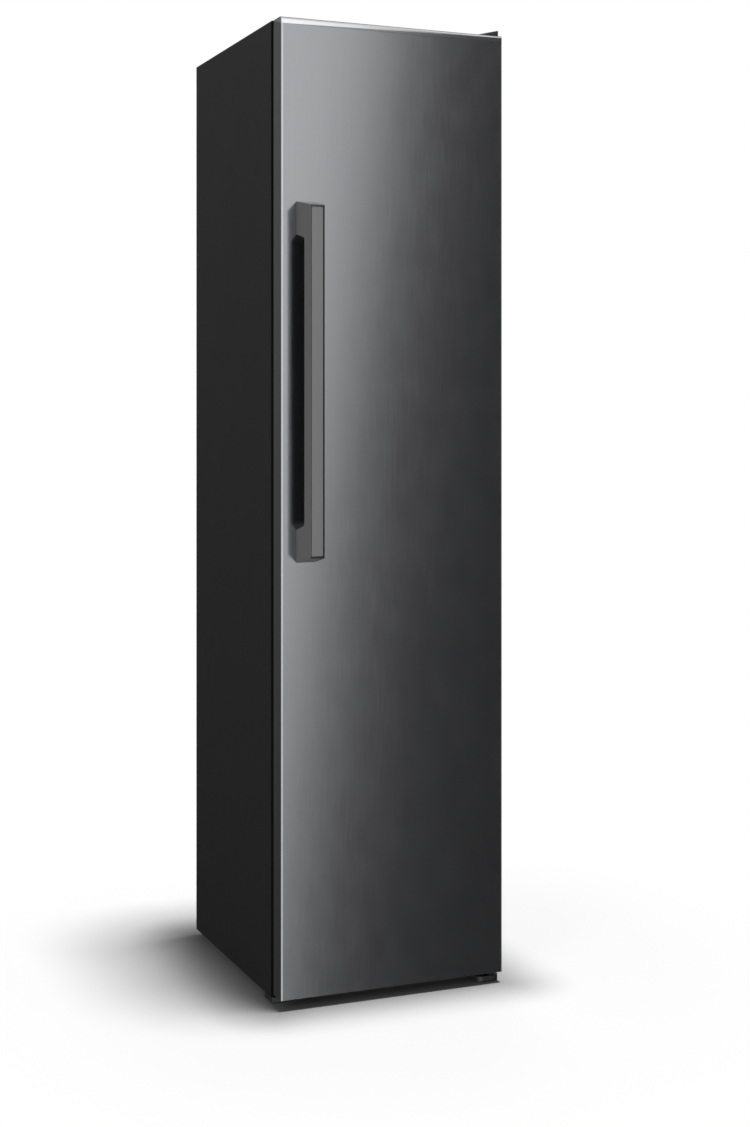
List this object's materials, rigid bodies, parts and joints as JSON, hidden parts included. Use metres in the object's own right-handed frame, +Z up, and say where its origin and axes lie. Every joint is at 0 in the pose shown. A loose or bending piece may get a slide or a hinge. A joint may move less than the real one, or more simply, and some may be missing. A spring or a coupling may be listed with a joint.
{
  "type": "upright freezer",
  "caption": "Tall free-standing upright freezer with one brushed dark steel door, a long vertical bar handle, shelves, door bins and a rear machine room.",
  "frame": {"origin": "on the floor, at the middle of the box that holds the whole freezer", "axes": "+Z up, the door faces -Y, +X to the right seen from the front, where the door's hinges are"},
  "size_m": [0.495, 0.648, 2.013],
  "materials": {
    "painted_side": "satin powder coat",
    "rear_sheet": "satin",
    "base_steel": "satin",
    "galvanised": "spangled zinc",
    "foam": "matte",
    "liner_white": "satin",
    "cover_white": "satin",
    "condenser_copper": "satin",
    "aluminium": "satin",
    "heater": "clear",
    "grey_plastic": "matte",
    "shelf_glass": "clear",
    "shelf_trim": "satin",
    "clear_bin": "clear",
    "lens": "frosted",
    "knob_grey": "satin",
    "compressor_black": "gloss",
    "rubber": "matte",
    "black_plastic": "matte",
    "black_steel": "satin",
    "zinc": "zinc plated",
    "door_steel": "brushed dark steel",
    "door_cap": "satin",
    "cap_black": "matte",
    "bush_white": "matte",
    "gasket": "matte",
    "handle_dark": "satin",
    "handle_steel": "brushed"
  },
  "bodies": {
    "cabinet": {"side_panel_left": "painted_side", "side_panel_right": "painted_side", "top_panel": "painted_side", "rear_panel": "rear_sheet", "base_plate": "base_steel", "machine_room_housing": "galvanised", "cabinet_foam": "foam", "inner_liner": "liner_white", "evaporator_cover": "cover_white", "control_housing": "cover_white", "condenser_tube": "condenser_copper", "suction_pipe": "condenser_copper", "discharge_pipe": "condenser_copper", "filter_drier": "condenser_copper", "evaporator": "aluminium", "drip_channel": "aluminium", "defrost_heater": "heater", "drain_tube": "grey_plastic", "fan_motor": "grey_plastic", "evaporation_tray": "grey_plastic", "glass_shelf_1": "shelf_glass", "glass_shelf_2": "shelf_glass", "glass_shelf_3": "shelf_glass", "glass_shelf_4": "shelf_glass", "glass_shelf_5": "shelf_glass", "shelf_trims": "shelf_trim", "freezer_basket": "clear_bin", "lamp_lens": "lens", "compressor": "compressor_black", "compressor_grommets": "rubber", "terminal_cover": "black_plastic", "power_inlet": "black_plastic", "top_hinge_cover": "black_plastic", "top_hinge_bracket": "black_steel", "bottom_hinge_bracket": "black_steel", "foot_bracket_left": "black_steel", "cabinet_screws": "zinc", "roller_brackets": "zinc"},
    "door": {"door_skin": "door_steel", "door_foam": "foam", "door_liner": "liner_white", "door_gasket": "gasket", "door_top_cap": "door_cap", "door_bottom_cap": "cap_black", "hinge_bushes": "bush_white", "handle_body": "handle_dark", "handle_face": "handle_steel", "door_bin_1": "clear_bin", "door_bin_2": "clear_bin", "door_bin_3": "clear_bin", "door_bin_4": "clear_bin"},
    "knob": {"control_knob": "knob_grey"},
    "button": {"freeze_button": "knob_grey"},
    "fan": {"fan_blade": "grey_plastic"},
    "foot_left": {"foot_pad_left": "black_plastic", "foot_stud_left": "zinc"},
    "foot_right": {"foot_pad_right": "black_plastic", "foot_stud_right": "zinc"},
    "roller_left": {"roller_left": "black_plastic"},
    "roller_right": {"roller_right": "black_plastic"}
  },
  "joints": [
    {"name": "door_hinge", "type": "hinge", "parent": "cabinet", "child": "door", "pos_m": [0.2315, -0.232, 1], "axis": [0, 0, 1], "range_deg": [0, 120]},
    {"name": "knob_turn", "type": "hinge", "parent": "cabinet", "child": "knob", "pos_m": [0.07, -0.092, 1.919], "axis": [0, -1, 0], "range_deg": [0, 270]},
    {"name": "button_press", "type": "slide", "parent": "cabinet", "child": "button", "axis": [0, 1, 0], "range_m": [0, 0.002], "stiffness_N_per_m": 500, "springref_m": -0.003},
    {"name": "fan_spin", "type": "hinge", "parent": "cabinet", "child": "fan", "pos_m": [0, 0.218, 0.533], "axis": [0, 1, 0], "continuous": true},
    {"name": "foot_left_screw", "type": "hinge", "parent": "cabinet", "child": "foot_left", "pos_m": [-0.2335, -0.188, 0.007], "axis": [0, 0, 1], "range_deg": [0, 2880]},
    {"name": "foot_right_screw", "type": "hinge", "parent": "cabinet", "child": "foot_right", "pos_m": [0.2175, -0.188, 0.007], "axis": [0, 0, 1], "range_deg": [0, 2880]},
    {"name": "roller_left_spin", "type": "hinge", "parent": "cabinet", "child": "roller_left", "pos_m": [-0.2055, 0.282, 0.015], "axis": [1, 0, 0], "continuous": true},
    {"name": "roller_right_spin", "type": "hinge", "parent": "cabinet", "child": "roller_right", "pos_m": [0.2055, 0.282, 0.015], "axis": [1, 0, 0], "continuous": true}
  ]
}
